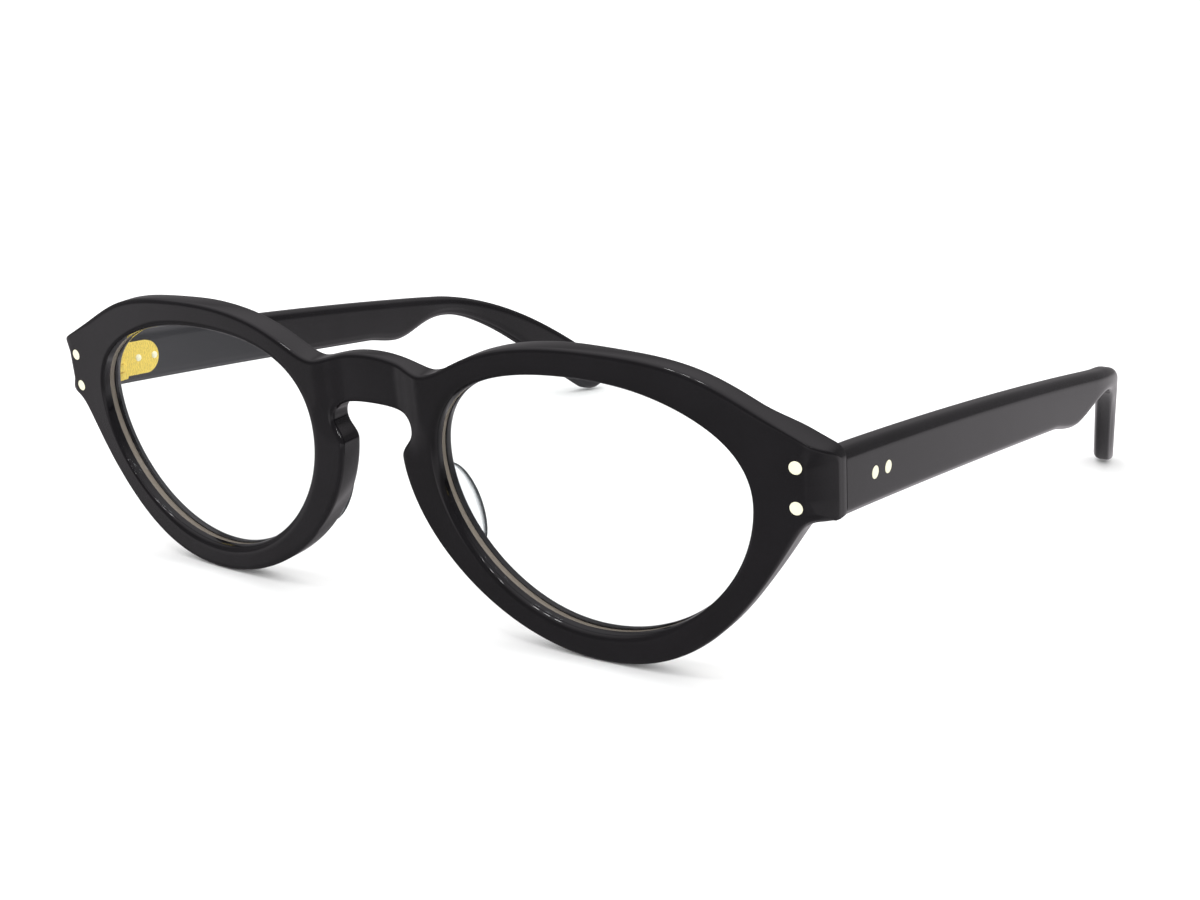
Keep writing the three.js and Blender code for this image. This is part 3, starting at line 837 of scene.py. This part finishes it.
# ---------------------------------------------------------------- floor, light and camera
# What gloss reflects of the table far off and close by, as (share of a turn, brightness) from straight
# behind the glasses round by the wearer's right, the front (0.5) and the wearer's left.
REFLECTED_TABLE = [(0.0, 0.62), (0.05, 0.6), (0.22, 0.4), (0.3, 0.42), (0.335, 0.6), (0.39, 0.34),
                   (0.455, 0.36), (0.5, 1.0), (0.55, 0.6), (0.8, 0.6), (0.87, 0.9), (0.91, 0.65), (1.0, 0.62)]
REFLECTED_NEAR = [(0.0, 0.9), (0.03, 0.5), (0.06, 0.3), (0.12, 0.15), (0.3, 0.2), (0.4, 0.3), (0.6, 0.3),
                  (0.75, 0.5), (0.88, 0.6), (0.95, 0.65), (1.0, 1.1)]
REFLECTED_WALL = 0.22
REFLECTED_CEILING = 1.0
REFLECTED_TINT = (1.0, 0.955, 0.99, 1)
WHITE_LEVEL = 1.35


def build_stage():
    reach = 3.0
    corners = [(-reach, -reach, 0), (reach, -reach, 0), (reach, reach, 0), (-reach, reach, 0)]
    mesh = bpy.data.meshes.new("floor")
    mesh.from_pydata(corners, [], [(0, 1, 2, 3)])
    mesh.materials.append(floor_paper())
    floor = bpy.data.objects.new("floor", mesh)
    bpy.context.scene.collection.objects.link(floor)
    floor.visible_glossy = False


def build_world():
    """White to the camera and to matt surfaces. Gloss reflects a room: a dim side where the viewer
    stands, bright tables to both sides, darker walls above them and a pale ceiling."""
    made = Nodes("studio", bpy.data.worlds.new("studio"))
    bpy.context.scene.world = made.owner
    direction = made.node("SeparateXYZ", Vector=made.node("TexCoord").outputs["Generated"])
    across, along, up = (direction.outputs[axis] for axis in "XYZ")
    heading = made.math("ARCTAN2", across, made.math("MULTIPLY", along, -1.0))
    turn = made.ramp(heading, 0, 1, -math.pi, math.pi)
    table = made.curve(turn, REFLECTED_TABLE)
    near = made.curve(turn, REFLECTED_NEAR)
    ground = made.mix_value(made.ramp(up, 0, 1, -0.5, -0.33), near, table)
    room = made.mix_value(made.ramp(up, 0, 1, -0.22, -0.08), ground, REFLECTED_WALL)
    seen = made.mix_value(made.ramp(up, 0, 1, 0.45, 0.95), room, REFLECTED_CEILING)
    gloss = made.node("LightPath").outputs["Is Glossy Ray"]
    strength = made.mix_value(gloss, WHITE_LEVEL, seen)
    tint = made.blend(gloss, (1, 1, 1, 1), REFLECTED_TINT)
    return made.finish(made.node("Background", Color=tint, Strength=strength).outputs["Background"])


def area_light(name, place, aim, size, power):
    data = bpy.data.lights.new(name, "AREA")
    data.shape = "RECTANGLE"
    data.size, data.size_y = size
    data.energy = power
    light = bpy.data.objects.new(name, data)
    light.location = place
    light.rotation_mode = "QUATERNION"
    light.rotation_quaternion = (Vector(aim) - Vector(place)).to_track_quat("-Z", "Y")
    bpy.context.scene.collection.objects.link(light)
    return light


def build_camera():
    """Looks down on the wearer's left of the front, from just above the table."""
    azimuth, elevation, distance, roll = math.radians(33.54), math.radians(14.46), 0.2784, 0.0027
    centre = (cad_low + cad_high) / 2
    aim = centre + Vector((-5.1, -7.8, -11.5)) * MM
    back = Vector((math.sin(azimuth) * math.cos(elevation), -math.cos(azimuth) * math.cos(elevation),
                   math.sin(elevation)))
    data = bpy.data.cameras.new("camera")
    data.lens = 47.9
    data.sensor_width = 36
    data.clip_start, data.clip_end = 0.01, 20
    camera = bpy.data.objects.new("camera", data)
    camera.location = aim + back * distance
    camera.rotation_mode = "QUATERNION"
    camera.rotation_quaternion = Quaternion(-back, roll) @ (-back).to_track_quat("-Z", "Y")
    bpy.context.scene.collection.objects.link(camera)
    bpy.context.scene.camera = camera


build_pieces()
build_stage()
build_world()
area_light("overhead", (-0.15, 0.05, 0.7), (0, 0, 0), (0.9, 0.9), 1.0).visible_glossy = False
for number, across in enumerate((-0.1, 0.0, 0.1)):
    area_light(f"ceiling_lamp_{number}", (across, -0.45, 0.85), (0, 0, 0), (0.05, 0.05), 0.25)
for number, place in enumerate(((0.33, -0.7, 0.62), (0.43, -0.66, 0.6), (0.55, -0.58, 0.6))):
    area_light(f"window_{number}", place, (0, 0, 0), (0.03, 0.03), 0.12)
build_camera()
bpy.context.scene.view_settings.view_transform = "Standard"
